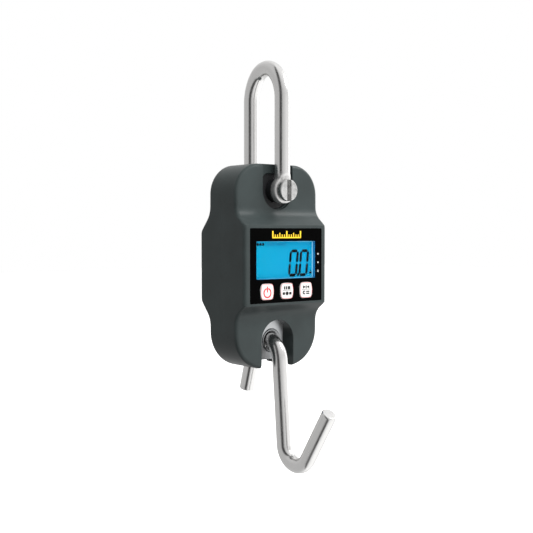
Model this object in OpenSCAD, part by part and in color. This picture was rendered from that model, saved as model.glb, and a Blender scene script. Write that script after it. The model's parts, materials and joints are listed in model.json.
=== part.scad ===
// Hand-held hanging scale: a shackle on top, a load cell in a two-shell housing, an S-hook below.
// Z = 0 is the inner top of the shackle bow, where the scale hangs. The display faces -Y.

/* [Shackle] */
// Diameter of the round bar of the shackle and of the hook
rod_d = 10; // [9:0.5:11]
// From the inner top of the bow down to the pin's axis
pin_drop = 74.7; // [70:0.1:80]
// Distance between the centre lines of the two legs
leg_spacing = 32; // [31:0.5:34]
// Centre-line radius of the crown, before the wider shoulders
crown_r = 13; // [12:0.5:15]
// Half the angle that the crown arc spans
crown_half_angle = 48; // [40:1:55]
// Outer diameter of the flat eye at the end of each leg
eye_d = 16.8; // [16:0.1:19]
// Thickness of each eye
eye_t = 5.7; // [5:0.1:6]
// Diameter of the cross pin
pin_d = 9; // [8:0.5:9.5]
// Diameter of the pin's slotted head
pin_head_d = 14; // [13:0.5:15]
// Height of the pin's head
pin_head_t = 4; // [3:0.5:5]
// Width of the screwdriver slot in the head
slot_w = 3; // [2:0.5:4]

/* [Housing] */
// Width of the housing
housing_w = 67.6; // [66:0.2:72]
// Height of the housing
housing_h = 131.4; // [130:0.2:134]
// From the pin's axis up to the top of the housing
top_above_pin = 17; // [16.5:0.1:18]
// Radius of the two top corners
top_corner_r = 19; // [17:0.5:21]
// Radius of the two bottom corners
bottom_corner_r = 23; // [21:0.5:25]
// How far each side bulges at mid height
side_crown = 0.4; // [0:0.1:0.6]
// Distance from the hanging plane to the lower front face
front_face = 11.5; // [11:0.1:12]
// Height of the display block above that face
front_step = 9.1; // [8.5:0.1:10]
// Distance from the hanging plane to the lower rear face
rear_face = 17.3; // [17:0.1:18]
// Height of the battery block above that face
rear_step = 9.8; // [9:0.1:10.5]
// Rounding of the housing's long edges
edge_r = 2.4; // [1.5:0.1:3]
// Wall thickness of both shells
wall = 2.2; // [2:0.1:2.5]
// Plane where the shells meet
seam_y = 4; // [3:0.5:5]
// Half width of the notch round the shackle's eye
top_notch_r = 12.4; // [12:0.1:13]
// Half width of the notch round the hook
low_notch_r = 13.3; // [13:0.1:14]

/* [Front panel] */
// From the housing's top down to the panel's centre
panel_drop = 64.8; // [64:0.1:66]
// Width of the black panel
panel_w = 59.6; // [58:0.2:60]
// Height of the black panel
panel_h = 47.1; // [46:0.1:48]
// Width of the display window
window_w = 49.4; // [48:0.2:50]
// Height of the display window
window_h = 24; // [22:0.5:25]
// Height of the window's centre above the panel's centre
window_rise = 3.4; // [3:0.1:4]
// Depth of the display surface behind the panel's face
display_depth = 3.1; // [2.8:0.1:3.4]
// Width of each key
key_w = 11; // [10:0.2:11.4]
// Height of each key
key_h = 10.4; // [10:0.2:10.8]
// Distance between the centres of neighbouring keys
key_pitch = 16.2; // [16:0.1:16.6]
// From the panel's centre down to the keys' centres
key_drop = 16.4; // [16:0.1:16.8]
// How far a key travels when pressed
key_travel = 0.5; // [0.3:0.1:0.6]

/* [Hook] */
// Centre-line radius of the curl that passes through the load cell
curl_r = 14; // [13.8:0.1:14.2]
// Lean of the shank from the vertical, in degrees
shank_lean = 4.7; // [3:0.1:6]
// Lean of the short rear tail from the vertical, in degrees
tail_lean = 16.5; // [14:0.5:18]
// Straight length of the tail
tail_len = 27; // [24:0.5:28]
// Straight length of the shank
shank_len = 54.2; // [52:0.1:57]
// Centre-line radius of the bowl
bowl_r = 12.4; // [12:0.1:13]
// Lean of the open arm from the vertical, in degrees
arm_lean = 32.3; // [30:0.5:35]
// Straight length of the open arm
arm_len = 37.7; // [34:0.1:40]

/* [Load cell] */
// Thickness of the load cell
cell_t = 10; // [9.5:0.5:10.5]
// Width of the load cell's middle
cell_w = 32; // [30:1:34]
// Half width of the lower lug
lug_r = 9.5; // [9.2:0.1:10]
// Outer diameter of the bush that carries the hook
bush_d = 14; // [13.8:0.1:14.2]
// Bore of that bush
bush_bore = 11.6; // [11.6:0.1:11.8]

/* [Battery bay] */
// Diameter of one cell
battery_d = 10.5; // [10.5]
// Length of one cell
battery_len = 44.5; // [44.5]
// Width of the battery door
door_w = 56; // [55:0.5:57]
// Height of the battery door
door_h = 40; // [39.6:0.1:40.2]

/* [Hidden] */
$fn = 48;

rod_r = rod_d / 2;
half_w = housing_w / 2;
half_leg = leg_spacing / 2;
pin_z = -pin_drop;
top_z = pin_z + top_above_pin;
bottom_z = top_z - housing_h;
panel_z = top_z - panel_drop;
window_z = panel_z + window_rise;
key_z = panel_z - key_drop;
front_y = -(front_face + front_step);
rear_y = rear_face + rear_step;
door_z = panel_z - 1.3;

// Front and rear slopes: start height, angle, edge radius and foot radius
front_top_z = panel_z + panel_h / 2 + 1.1;
front_low_z = panel_z - panel_h / 2 - 1.1;
rear_top_z = door_z + door_h / 2 + 1.3;
rear_low_z = door_z - door_h / 2 - 0.9;

// Hanging and load axes
eye_mid_y = half_leg + 0.15;
eye_in_y = eye_mid_y - eye_t / 2;
eye_out_y = eye_mid_y + eye_t / 2;
low_notch_z = bottom_z + 17.7;
bush_z = low_notch_z - 0.6;
curl_y = 0.3;
curl_z = bush_z - 13.3;
lug_bottom_z = bush_z - 12.1;
cell_hole_r = bush_d / 2 + 0.05;
cell_mid_z = (pin_z + bush_z) / 2;

// Play between moving pieces and in assembled joints
pin_play = 0.25;
slip = 0.15;

// Layers behind the front panel, as y
panel_face_y = front_y + 0.1;
panel_back_y = front_y + 0.8;
wall_back_y = front_y + wall;
glass_y = front_y + display_depth;
glass_t = 2.8;
light_y = glass_y + glass_t;
light_t = 2.6;
board_y = light_y + light_t + 0.1;
board_t = 1.6;

// ---------------------------------------------------------------- helpers

// A prism of a drawing in X and Z, between two values of y
module prism(y0, y1) {
    translate([0, y1, 0])
        rotate([90, 0, 0])
            linear_extrude(y1 - y0)
                children();
}

// A round bar along Y
module bar_y(x, z, r, y0, y1) {
    translate([x, y1, z])
        rotate([90, 0, 0])
            cylinder(r = r, h = y1 - y0);
}

// A cone along Y, with a radius at each end
module cone_y(x, z, y0, r0, y1, r1) {
    translate([x, y0, z])
        rotate([-90, 0, 0])
            cylinder(r1 = r0, r2 = r1, h = y1 - y0);
}

// A box between two corners
module box(a, b) {
    translate(a)
        cube(b - a);
}

// A rectangle with four round corners, centred
module round_rect(w, h, r) {
    square([w - 2 * r, h], center = true);
    square([w, h - 2 * r], center = true);
    for (sx = [-1, 1], sz = [-1, 1])
        translate([sx * (w / 2 - r), sz * (h / 2 - r)])
            circle(r);
}

// Front outline of the housing, moved inwards by an inset
module outline(inset) {
    rt = top_corner_r - inset;
    rb = bottom_corner_r - inset;
    xt = half_w - top_corner_r;
    xb = half_w - bottom_corner_r;
    zt = top_z - top_corner_r;
    zb = bottom_z + bottom_corner_r;
    translate([-half_w + inset, zb])
        square([2 * (half_w - inset), zt - zb]);
    translate([-xt, zt])
        square([2 * xt, rt]);
    translate([-xb, zb - rb])
        square([2 * xb, rb]);
    for (s = [-1, 1]) {
        translate([s * xt, zt])
            circle(rt);
        translate([s * xb, zb])
            circle(rb);
    }
}

// A U that is open upwards: round below, straight above
module u_up(r, z, z_end) {
    translate([0, z])
        circle(r);
    translate([-r, z])
        square([2 * r, z_end - z]);
}

// A U that is open downwards
module u_down(r, z, z_end) {
    translate([0, z])
        circle(r);
    translate([-r, z_end])
        square([2 * r, z - z_end]);
}

// ---------------------------------------------------------------- housing form

// Drop of a slope at a distance s past its edge: edge arc, straight flank, foot arc
function drop(s, step, a, r1, r2) =
    let (
        s1 = r1 * sin(a),
        flank = step - (r1 + r2) * (1 - cos(a)),
        s2 = s1 + flank / tan(a),
        s3 = s2 + r2 * sin(a)
    )
    s <= 0 ? 0 :
    s < s1 ? r1 - sqrt(r1 * r1 - s * s) :
    s < s2 ? r1 * (1 - cos(a)) + (s - s1) * tan(a) :
    s < s3 ? step - r2 + sqrt(r2 * r2 - (s3 - s) * (s3 - s)) :
    step;

function front_at(z) = front_y
    + drop(z - front_top_z, front_step, 50, 1.5, 10)
    + drop(front_low_z - z, front_step, 55, 1.2, 11);

function rear_at(z) = rear_y
    - drop(z - rear_top_z, rear_step, 41, 4, 13)
    - drop(rear_low_z - z, rear_step, 41, 4, 13);

function mid_h() = (top_z + bottom_z) / 2;

// Half width of the outline, moved in by i, at height z
function width_at(z, i) =
    let (
        zt = top_z - top_corner_r,
        zb = bottom_z + bottom_corner_r,
        k = (z - mid_h()) / (housing_h / 2),
        full = half_w + side_crown * (1 - k * k)
    )
    z > zt ? full - top_corner_r + sqrt(max(0, pow(top_corner_r - i, 2) - pow(z - zt, 2))) :
    z < zb ? full - bottom_corner_r + sqrt(max(0, pow(bottom_corner_r - i, 2) - pow(zb - z, 2))) :
    full - i;

// One level section: the corner arcs stop early where the level nears the top or the bottom
corner_steps = 5;
function reach(z) = min(90, acos(max(0, 1 - min(top_z - z, z - bottom_z) / edge_r)));
function arc_in(z, k) = edge_r * (1 - cos(reach(z) * k / corner_steps));
function arc_out(z, k) = edge_r * (1 - sin(reach(z) * k / corner_steps));
function section(z) = concat(
    [for (k = [0 : corner_steps]) [-width_at(z, arc_in(z, k)), front_at(z) + arc_out(z, k), z]],
    [for (k = [corner_steps : -1 : 0]) [width_at(z, arc_in(z, k)), front_at(z) + arc_out(z, k), z]],
    [for (k = [0 : corner_steps]) [width_at(z, arc_in(z, k)), rear_at(z) - arc_out(z, k), z]],
    [for (k = [corner_steps : -1 : 0]) [-width_at(z, arc_in(z, k)), rear_at(z) - arc_out(z, k), z]]
);

// Levels: close together where the corner arcs turn flat, even steps between
level_step = 1.7;
function arc_levels(r) = [for (t = [4 : 7 : 88]) r * (1 - cos(t))];
function even_levels(a, b) =
    let (n = ceil((b - a) / level_step))
    [for (i = [0 : n]) a + (b - a) * i / n];
levels = concat(
    [for (e = arc_levels(bottom_corner_r)) bottom_z + e],
    even_levels(bottom_z + bottom_corner_r, top_z - top_corner_r),
    [for (i = [len(arc_levels(top_corner_r)) - 1 : -1 : 0]) top_z - arc_levels(top_corner_r)[i]]
);

// The housing's whole outer form, with rounded edges
module housing_form() {
    n = len(section(mid_h()));
    m = len(levels);
    polyhedron(
        points = [for (z = levels) each section(z)],
        faces = concat(
            [[for (i = [0 : n - 1]) i]],
            [for (j = [0 : m - 2], i = [0 : n - 1])
                [j * n + i, (j + 1) * n + i, (j + 1) * n + (i + 1) % n, j * n + (i + 1) % n]],
            [[for (i = [n - 1 : -1 : 0]) (m - 1) * n + i]]
        ),
        convexity = 6
    );
}

// Inside of the housing between two values of y, before ribs and notches
module hollow(y0, y1) {
    prism(max(y0, -front_face + wall), min(y1, rear_face - wall))
        outline(wall);
    if (y0 < -front_face + wall)
        box([-half_w + wall, wall_back_y, front_low_z + 1.5], [half_w - wall, 0, front_top_z - 2.6]);
    if (y1 > rear_face - wall)
        box([-half_w + wall, 8, rear_low_z + 1.2], [half_w - wall, rear_y - wall, rear_top_z - 1.2]);
}

// Notch that the hook hangs through, and its surround
module low_notch(y0, y1, extra) {
    prism(y0, y1)
        u_down(low_notch_r + extra, low_notch_z, bottom_z - 1);
}

// Slot in the notch's roof that lets the load cell's lower lug out
module lug_slot() {
    box([-lug_r - 0.4, -cell_t / 2 - 0.4, low_notch_z], [lug_r + 0.4, cell_t / 2 + 0.4, low_notch_z + 20]);
}

// Where the shells are screwed together: x and z
shell_posts = [
    [-24, top_z - 17], [24, top_z - 17], [-23, bottom_z + 17], [23, bottom_z + 17]
];
// Where the shells are screwed to the load cell
cell_posts = [[0, pin_z - 19], [0, bush_z + 20.2]];
// Where the board is screwed to the front shell
board_posts = [
    [-26.4, panel_z - 17.5], [26.4, panel_z - 17.5], [-26.4, window_z + 16.4], [26.4, window_z + 16.4]
];
key_x = [-key_pitch, 0, key_pitch];

// Face of a key: a rounded square with slightly curved sides, moved outwards by extra
module key_shape(extra) {
    side_r = 40;
    intersection() {
        round_rect(key_w + 2 * extra, key_h + 2 * extra, 3 + extra);
        translate([side_r - key_w / 2 - extra, 0])
            circle(side_r, $fn = 96);
        translate([key_w / 2 + extra - side_r, 0])
            circle(side_r, $fn = 96);
        translate([0, side_r - key_h / 2 - extra])
            circle(side_r, $fn = 96);
        translate([0, key_h / 2 + extra - side_r])
            circle(side_r, $fn = 96);
    }
}

// ---------------------------------------------------------------- shells

module front_shell() {
    web_y = -front_face + 2.1;
    pocket_y = -front_face + 4.2;
    pad_back_y = -cell_t / 2 - 0.2;
    pocket_top = pin_z + 11.1;
    color("#4b5252")
        difference() {
            intersection() {
                housing_form();
                box([-50, -50, bottom_z - 5], [50, seam_y, top_z + 5]);
                union() {
                    difference() {
                        box([-50, -50, bottom_z - 5], [50, seam_y, top_z + 5]);
                        hollow(-50, seam_y + 1);
                    }
                    prism(-front_face - 1, pad_back_y)
                        u_up(top_notch_r + wall, pin_z, top_z);
                    low_notch(-front_face - 1, seam_y, wall);
                    for (p = shell_posts)
                        bar_y(p[0], p[1], 3.4, -front_face, seam_y);
                    for (p = board_posts)
                        bar_y(p[0], p[1], 2.3, wall_back_y - 1, board_y);
                    prism(wall_back_y - 0.5, glass_y)
                        translate([0, window_z])
                            round_rect(window_w + 4, window_h + 2.6, 1);
                }
            }
            // Recess for the shackle's leg and the deeper pocket round its eye
            prism(-40, web_y)
                u_up(top_notch_r, pin_z, top_z + 5);
            prism(-40, pocket_y)
                intersection() {
                    u_up(top_notch_r - 0.8, pin_z, top_z + 5);
                    translate([0, pocket_top - 20])
                        round_rect(2 * top_notch_r - 1.6, 40, 5);
                }
            bar_y(0, pin_z, 7.7, -30, 0);
            low_notch(-40, seam_y + 1, 0);
            lug_slot();
            // Seat of the panel, the window and the key holes
            prism(-40, panel_back_y)
                translate([0, panel_z])
                    round_rect(panel_w + 0.2, panel_h + 0.2, 0.8);
            prism(-40, 0)
                translate([0, window_z])
                    round_rect(window_w, window_h, 0.6);
            for (x = key_x)
                prism(-40, -10)
                    translate([x, key_z])
                        key_shape(slip);
            // Screw pilots
            for (p = shell_posts)
                bar_y(p[0], p[1], 1.25, -front_face + 3, seam_y + 1);
            for (p = board_posts)
                bar_y(p[0], p[1], 0.85, wall_back_y + 1, board_y + 1);
            gasket_ring(0.05, 1.1);
        }
}

module rear_shell() {
    web_y = half_leg - rod_r - 0.6;
    pocket_y = cell_t / 2 + 2.3;
    bay_w = battery_len + 6.6;
    bay_h = door_h - 2;
    color("#464d4d")
        difference() {
            intersection() {
                housing_form();
                box([-50, seam_y, bottom_z - 5], [50, 50, top_z + 5]);
                union() {
                    difference() {
                        box([-50, seam_y, bottom_z - 5], [50, 50, top_z + 5]);
                        hollow(seam_y - 1, 50);
                    }
                    prism(cell_t / 2 + 0.2, rear_face + 1)
                        u_up(top_notch_r + wall, pin_z, top_z);
                    low_notch(seam_y, rear_face + 1, wall);
                    for (p = shell_posts)
                        bar_y(p[0], p[1], 3.8, seam_y, rear_face);
                    for (p = cell_posts)
                        bar_y(p[0], p[1], 4.2, cell_t / 2, rear_face);
                    // Battery tray
                    prism(bay_floor_y() - 1.6, rear_y - wall)
                        translate([0, door_z])
                            round_rect(bay_w + 3, bay_h + 3, 2);
                    bar_y(0, lock_z, lock_r, bay_floor_y() - 1.6, rear_y - wall);
                }
            }
            prism(web_y, 40)
                u_up(top_notch_r, pin_z, top_z + 5);
            prism(pocket_y, 40)
                u_up(top_notch_r - 0.8, pin_z, pin_z + 11.1);
            bar_y(0, pin_z, 7.7, 0, 40);
            low_notch(seam_y - 1, 40, 0);
            lug_slot();
            // Battery bay, its ledge and the door's seat
            difference() {
                prism(bay_floor_y(), 40)
                    translate([0, door_z])
                        round_rect(bay_w, bay_h, 1.2);
                bar_y(0, lock_z, lock_r, bay_floor_y() - 1, rear_y - 4.4);
            }
            prism(rear_y - 2, 40)
                translate([0, door_z])
                    round_rect(door_w + 0.5, door_h + 0.5, 2.2);
            bar_y(0, lock_z, insert_r + 0.05, rear_y - 12, rear_y);
            for (p = cell_posts)
                bar_y(p[0], p[1], 1.75, 0, cell_t / 2 + 8);
            // Screw holes with sunk heads
            for (p = shell_posts) {
                bar_y(p[0], p[1], 1.6, seam_y - 1, rear_face + 1);
                bar_y(p[0], p[1], 3, seam_y + 7, rear_face + 12);
            }
            gasket_ring(0.05, 0.7);
        }
}

function bay_floor_y() = rear_y - 14.2;

// Axis, boss radius and hole radii of the screw that holds the battery door
lock_z = door_z + door_h / 2 - 3.8;
lock_r = 2.9;
insert_r = 2;

// Ring of the seal in the shells' joint, cut where the hook's notch passes
module gasket_ring(extra, depth) {
    difference() {
        prism(seam_y - depth, seam_y + depth)
            difference() {
                outline(0.75 - extra);
                outline(1.45 + extra);
            }
        low_notch(-20, 40, wall - 1 - extra);
    }
}

module shell_gasket() {
    color("#15171a")
        gasket_ring(0, 0.65);
}

module shell_screws() {
    color("silver")
        for (p = shell_posts) {
            difference() {
                bar_y(p[0], p[1], 2.7, seam_y + 7, seam_y + 9.2);
                box([p[0] - 1.7, seam_y + 8.2, p[1] - 0.4], [p[0] + 1.7, seam_y + 10, p[1] + 0.4]);
                box([p[0] - 0.4, seam_y + 8.2, p[1] - 1.7], [p[0] + 0.4, seam_y + 10, p[1] + 1.7]);
            }
            bar_y(p[0], p[1], 1.2, seam_y - 9, seam_y + 7);
        }
}

// ---------------------------------------------------------------- shackle

function shoulder_r() = (half_leg - crown_r * sin(crown_half_angle)) / (1 - sin(crown_half_angle));
function crown_z() = rod_r - crown_r;
function shoulder_z() = crown_z() - (shoulder_r() - crown_r) * cos(crown_half_angle);

// A station of a bar that is bent in the Y-Z plane: centre, direction along the bar in degrees
// from +Y towards +Z, half width in X and half thickness in the plane
function station(c, dir, rx = rod_r, rn = rod_r) = [c[0], c[1], dir, rx, rn];

// Stations on an arc: centre, radius, first angle, swept angle, number of steps
function arc_stations(c, r, a, sweep, n) = [
    for (i = [0 : n])
        let (t = a + sweep * i / n)
        station(c + r * [cos(t), sin(t)], t + (sweep > 0 ? 90 : -90))
];

// A closed bar through the stations, with ellipse sections
bar_sides = 28;
module bent_bar(stations) {
    m = len(stations);
    polyhedron(
        points = [
            for (s = stations, i = [0 : bar_sides - 1])
                let (t = 360 * i / bar_sides, n = s[4] * sin(t))
                [s[3] * cos(t), s[0] - n * sin(s[2]), s[1] + n * cos(s[2])]
        ],
        faces = concat(
            [[for (i = [bar_sides - 1 : -1 : 0]) i]],
            [for (j = [0 : m - 2], i = [0 : bar_sides - 1])
                let (k = (i + 1) % bar_sides)
                [j * bar_sides + i, j * bar_sides + k, (j + 1) * bar_sides + k, (j + 1) * bar_sides + i]],
            [[for (i = [0 : bar_sides - 1]) (m - 1) * bar_sides + i]]
        ),
        convexity = 8
    );
}

// Neck above an eye: the round bar thins to the eye's thickness. Step -1 starts it inside the eye.
neck_h = 5;
neck_steps = 6;
function neck_mix(i) = (1 - cos(180 * max(i, 0) / neck_steps)) / 2;
function neck_z(i) = pin_z + (i < 0 ? 3 : 6.2 + neck_h * i / neck_steps);
function neck_station(s, i, dir) = station(
    [s * (eye_mid_y + (half_leg - eye_mid_y) * neck_mix(i)), neck_z(i)],
    dir,
    rod_r,
    eye_t / 2 + (rod_r - eye_t / 2) * neck_mix(i)
);

module shackle_bow() {
    off_y = (shoulder_r() - crown_r) * sin(crown_half_angle);
    color("#c9ccce")
        difference() {
            union() {
                bent_bar(concat(
                    [for (i = [-1 : neck_steps]) neck_station(1, i, 90)],
                    arc_stations([-off_y, shoulder_z()], shoulder_r(), 0, 90 - crown_half_angle, 6),
                    arc_stations([0, crown_z()], crown_r, 90 - crown_half_angle + 8,
                        2 * crown_half_angle - 16, 10),
                    arc_stations([off_y, shoulder_z()], shoulder_r(), 90 + crown_half_angle,
                        90 - crown_half_angle, 6),
                    [for (i = [neck_steps : -1 : -1]) neck_station(-1, i, 270)]
                ));
                for (s = [-1, 1])
                    bar_y(0, pin_z, eye_d / 2, s * eye_mid_y - eye_t / 2, s * eye_mid_y + eye_t / 2);
            }
            bar_y(0, pin_z, pin_d / 2 + 0.1, -30, 30);
        }
}

module shackle_pin() {
    head_y = -eye_out_y;
    face_y = head_y - pin_head_t;
    color("#b9bcbe")
        difference() {
            union() {
                bar_y(0, pin_z, pin_d / 2, head_y, eye_out_y + 0.8);
                bar_y(0, pin_z, pin_head_d / 2, face_y + 0.6, head_y);
                cone_y(0, pin_z, face_y, pin_head_d / 2 - 0.6, face_y + 0.6, pin_head_d / 2);
            }
            box([-slot_w / 2, face_y - 1, pin_z - 10], [slot_w / 2, face_y + 2, pin_z + 10]);
        }
}

// Black pads on the pocket floors, round the pin
module pin_pad(y0, y1) {
    color("#1b1c1e")
        difference() {
            prism(y0, y1)
                intersection() {
                    circle_at(top_notch_r - 1.1, pin_z, 10.6);
                    translate([0, pin_z - 9.3])
                        round_rect(2 * top_notch_r - 2.2, 40, 5);
                }
            bar_y(0, pin_z, 7.6, y0 - 1, y1 + 1);
        }
}

module circle_at(r, z, rise) {
    translate([0, z])
        circle(r);
    translate([-r, z])
        square([2 * r, rise]);
}

module front_pin_pad() {
    pin_pad(-front_face + 3.3, -front_face + 4.2);
}

module rear_pin_pad() {
    pin_pad(cell_t / 2 + 2.3, cell_t / 2 + 3.2);
}

// Sleeves on the pin that keep the load cell in the middle
module pin_spacer(y0, y1) {
    color("#26282a")
        difference() {
            bar_y(0, pin_z, 7.3, y0, y1);
            bar_y(0, pin_z, pin_d / 2 + pin_play, y0 - 1, y1 + 1);
        }
}

module front_pin_spacer() {
    pin_spacer(-eye_in_y + 0.5, -cell_t / 2);
}

module rear_pin_spacer() {
    pin_spacer(cell_t / 2, eye_in_y - 0.5);
}

// ---------------------------------------------------------------- load cell

module load_cell() {
    top_lug_r = 11;
    beam_top = cell_mid_z + 32;
    beam_low = cell_mid_z - 32;
    window_r = 9;
    window_off = 12;
    color("#a9adb0")
        difference() {
            union() {
                bar_y(0, pin_z, top_lug_r, -cell_t / 2, cell_t / 2);
                prism(-cell_t / 2, cell_t / 2)
                    translate([-top_lug_r, beam_top - 3])
                        square([2 * top_lug_r, pin_z - beam_top + 3]);
                prism(-cell_t / 2, cell_t / 2)
                    translate([0, cell_mid_z])
                        round_rect(cell_w, beam_top - beam_low, 5);
                prism(-cell_t / 2, cell_t / 2)
                    translate([-lug_r, lug_bottom_z])
                        square([2 * lug_r, beam_low + 3 - lug_bottom_z]);
            }
            bar_y(0, pin_z, pin_d / 2 + pin_play, -10, 10);
            // Eye for the hook's bush
            bar_y(0, bush_z, cell_hole_r, -10, 10);
            cone_y(0, bush_z, -cell_t / 2 - 0.1, cell_hole_r + 1, -cell_t / 2 + 0.9, cell_hole_r);
            cone_y(0, bush_z, cell_t / 2 - 0.9, cell_hole_r, cell_t / 2 + 0.1, cell_hole_r + 1);
            // Two holes joined by a slot leave thin walls that flex
            for (s = [-1, 1])
                bar_y(0, cell_mid_z + s * window_off, window_r, -10, 10);
            box([-3, -10, cell_mid_z - window_off], [3, 10, cell_mid_z + window_off]);
            for (p = cell_posts)
                bar_y(p[0], p[1], 1.75, -10, 10);
        }
}

module cell_screws() {
    color("silver")
        for (p = cell_posts) {
            bar_y(p[0], p[1], 3.4, -cell_t / 2 - 2.2, -cell_t / 2);
            bar_y(p[0], p[1], 1.7, -cell_t / 2, cell_t / 2 + 7);
        }
}

gauge_spots = [for (sx = [-1, 1], sz = [-1, 1]) [sx * cell_w / 2, cell_mid_z + sz * 12]];

module strain_gauges() {
    color("#c8923c")
        for (g = gauge_spots) {
            outwards = sign(g[0]);
            x0 = outwards > 0 ? g[0] : g[0] - 0.2;
            box([x0, -3, g[1] - 4], [x0 + 0.2, 3, g[1] + 4]);
        }
}

module gauge_sealant() {
    color("#e8e8e4")
        for (s = [-1, 1]) {
            x0 = s > 0 ? cell_w / 2 + 0.2 : -cell_w / 2 - 1.4;
            prism(-4, 4)
                translate([x0, cell_mid_z - 18])
                    square([1.2, 36]);
        }
}

// Four thin leads from the gauges' sealant to the board
module gauge_leads() {
    color("#b03028")
        for (i = [0 : 3])
            bar_y(cell_w / 2 + 0.8, cell_mid_z + 3 - 2 * i, 0.35, board_y + board_t, -4);
}

module hook_bush() {
    r_in = bush_bore / 2;
    color("#8d9194")
        difference() {
            bar_y(0, bush_z, bush_d / 2, -cell_t / 2, cell_t / 2);
            bar_y(0, bush_z, r_in, -10, 10);
            cone_y(0, bush_z, -cell_t / 2 - 0.1, r_in + 0.8, -cell_t / 2 + 0.7, r_in);
            cone_y(0, bush_z, cell_t / 2 - 0.7, r_in, cell_t / 2 + 0.1, r_in + 0.8);
        }
}

// ---------------------------------------------------------------- hook

function shank_start() = [curl_y - curl_r * cos(shank_lean), curl_z + curl_r * sin(shank_lean)];
function tail_start() = [curl_y + curl_r * cos(tail_lean), curl_z + curl_r * sin(tail_lean)];
function shank_end() = shank_start() - shank_len * [sin(shank_lean), cos(shank_lean)];
function bowl_mid() = shank_end() + bowl_r * [-cos(shank_lean), sin(shank_lean)];
function arm_start() = bowl_mid() + bowl_r * [-cos(arm_lean), -sin(arm_lean)];
function tail_point(d) = tail_start() + d * [sin(tail_lean), -cos(tail_lean)];
function arm_point(d) = arm_start() + d * [-sin(arm_lean), cos(arm_lean)];

// The hook, from the tail's tip round the curl, down the shank, round the bowl and up the arm
module s_hook() {
    chamfer = 0.8;
    tip_r = rod_r - chamfer;
    tail_dir = 90 + tail_lean;
    arm_dir = 90 + arm_lean;
    color("#c9ccce")
        bent_bar(concat(
            [station(tail_point(tail_len), tail_dir, tip_r, tip_r)],
            [station(tail_point(tail_len - chamfer), tail_dir)],
            arc_stations([curl_y, curl_z], curl_r, tail_lean, 180 - tail_lean - shank_lean, 20),
            arc_stations(bowl_mid(), bowl_r, -shank_lean, shank_lean + arm_lean - 180, 18),
            [station(arm_point(arm_len - chamfer), arm_dir)],
            [station(arm_point(arm_len), arm_dir, tip_r, tip_r)]
        ));
}

// ---------------------------------------------------------------- display and keys

module front_panel() {
    color("#08090a")
        difference() {
            prism(panel_face_y, panel_back_y)
                translate([0, panel_z])
                    round_rect(panel_w, panel_h, 0.7);
            prism(-40, 0)
                translate([0, window_z])
                    round_rect(window_w, window_h, 0.6);
            for (x = key_x)
                prism(-40, 0)
                    translate([x, key_z])
                        key_shape(slip);
        }
}

module display_window() {
    color("#d8e8f0", 0.3)
        prism(panel_face_y, panel_back_y)
            translate([0, window_z])
                round_rect(window_w, window_h, 0.6);
}

module lcd_glass() {
    color("#1a9fd8")
        prism(glass_y, glass_y + glass_t)
            translate([0, window_z])
                square([window_w + 4, window_h + 4], center = true);
}

module backlight() {
    color("#e6eef2")
        prism(light_y, light_y + light_t)
            translate([0, window_z])
                square([window_w + 4, window_h + 4], center = true);
}

module main_board() {
    color("#1d6b3c")
        difference() {
            box([-29.5, board_y, front_low_z + 1.8], [29.5, board_y + board_t, front_top_z - 3]);
            for (p = board_posts)
                bar_y(p[0], p[1], 1.1, -30, 0);
        }
}

module board_screws() {
    color("silver")
        for (p = board_posts) {
            bar_y(p[0], p[1], 1.9, board_y + board_t, board_y + board_t + 1.3);
            bar_y(p[0], p[1], 0.8, board_y - 4, board_y + board_t);
        }
}

module converter_chip() {
    color("#141416")
        box([18.2, board_y + board_t, panel_z - 6], [26.2, board_y + board_t + 1.6, panel_z + 4]);
}

module buzzer() {
    color("#202022")
        difference() {
            bar_y(-22.5, panel_z + 10, 4.8, board_y + board_t, board_y + board_t + 3.6);
            bar_y(-22.5, panel_z + 10, 0.8, board_y + board_t + 2.6, board_y + board_t + 5);
        }
}

module key_switches() {
    switch_t = 1.9;
    color("#2a2a2c")
        for (x = key_x) {
            box([x - 3, board_y - switch_t, key_z - 3], [x + 3, board_y, key_z + 3]);
            bar_y(x, key_z, 1.7, board_y - switch_t - 0.5, board_y - switch_t);
        }
}

// A key: a flat cap in the panel, a flange behind the wall and a stem on the switch
module key_cap(x) {
    flange_y = wall_back_y + 0.1;
    stem_end_y = board_y - 1.9 - 0.5 - key_travel - 0.1;
    color("#f2f2f0") {
        prism(front_y - 0.25, flange_y + 0.01)
            translate([x, key_z])
                key_shape(0);
        prism(flange_y, flange_y + 0.8)
            translate([x, key_z])
                round_rect(key_w + 1.6, key_h + 0.8, 3.4);
        bar_y(x, key_z, 1.6, flange_y + 0.7, stem_end_y);
    }
}

module key_power() {
    key_cap(key_x[0]);
}

module key_hold() {
    key_cap(key_x[1]);
}

module key_tare() {
    key_cap(key_x[2]);
}

// ---------------------------------------------------------------- batteries

battery_y = bay_floor_y() + battery_d / 2 + 0.4;
battery_pitch = 10.6;
function battery_z(i) = door_z - 2.95 + (1 - i) * battery_pitch;

module battery(i) {
    flip = i == 1 ? -1 : 1;
    color("#3f6f9f")
        translate([0, battery_y, battery_z(i)])
            rotate([0, flip * 90, 0]) {
                translate([0, 0, -battery_len / 2])
                    cylinder(r = battery_d / 2, h = battery_len - 0.8);
                translate([0, 0, battery_len / 2 - 0.8])
                    cylinder(r = 1.9, h = 0.8);
            }
}

module battery_1() {
    battery(0);
}

module battery_2() {
    battery(1);
}

module battery_3() {
    battery(2);
}

// Conical contact springs, drawn as their closed outer form
module battery_springs() {
    color("#c0c4c8")
        for (i = [0 : 2]) {
            flip = i == 1 ? -1 : 1;
            translate([flip * -(battery_len / 2 + 2.9), battery_y, battery_z(i)])
                rotate([0, flip * 90, 0])
                    cylinder(r1 = 3.6, r2 = 2.2, h = 2.85, $fn = 32);
        }
}

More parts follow.
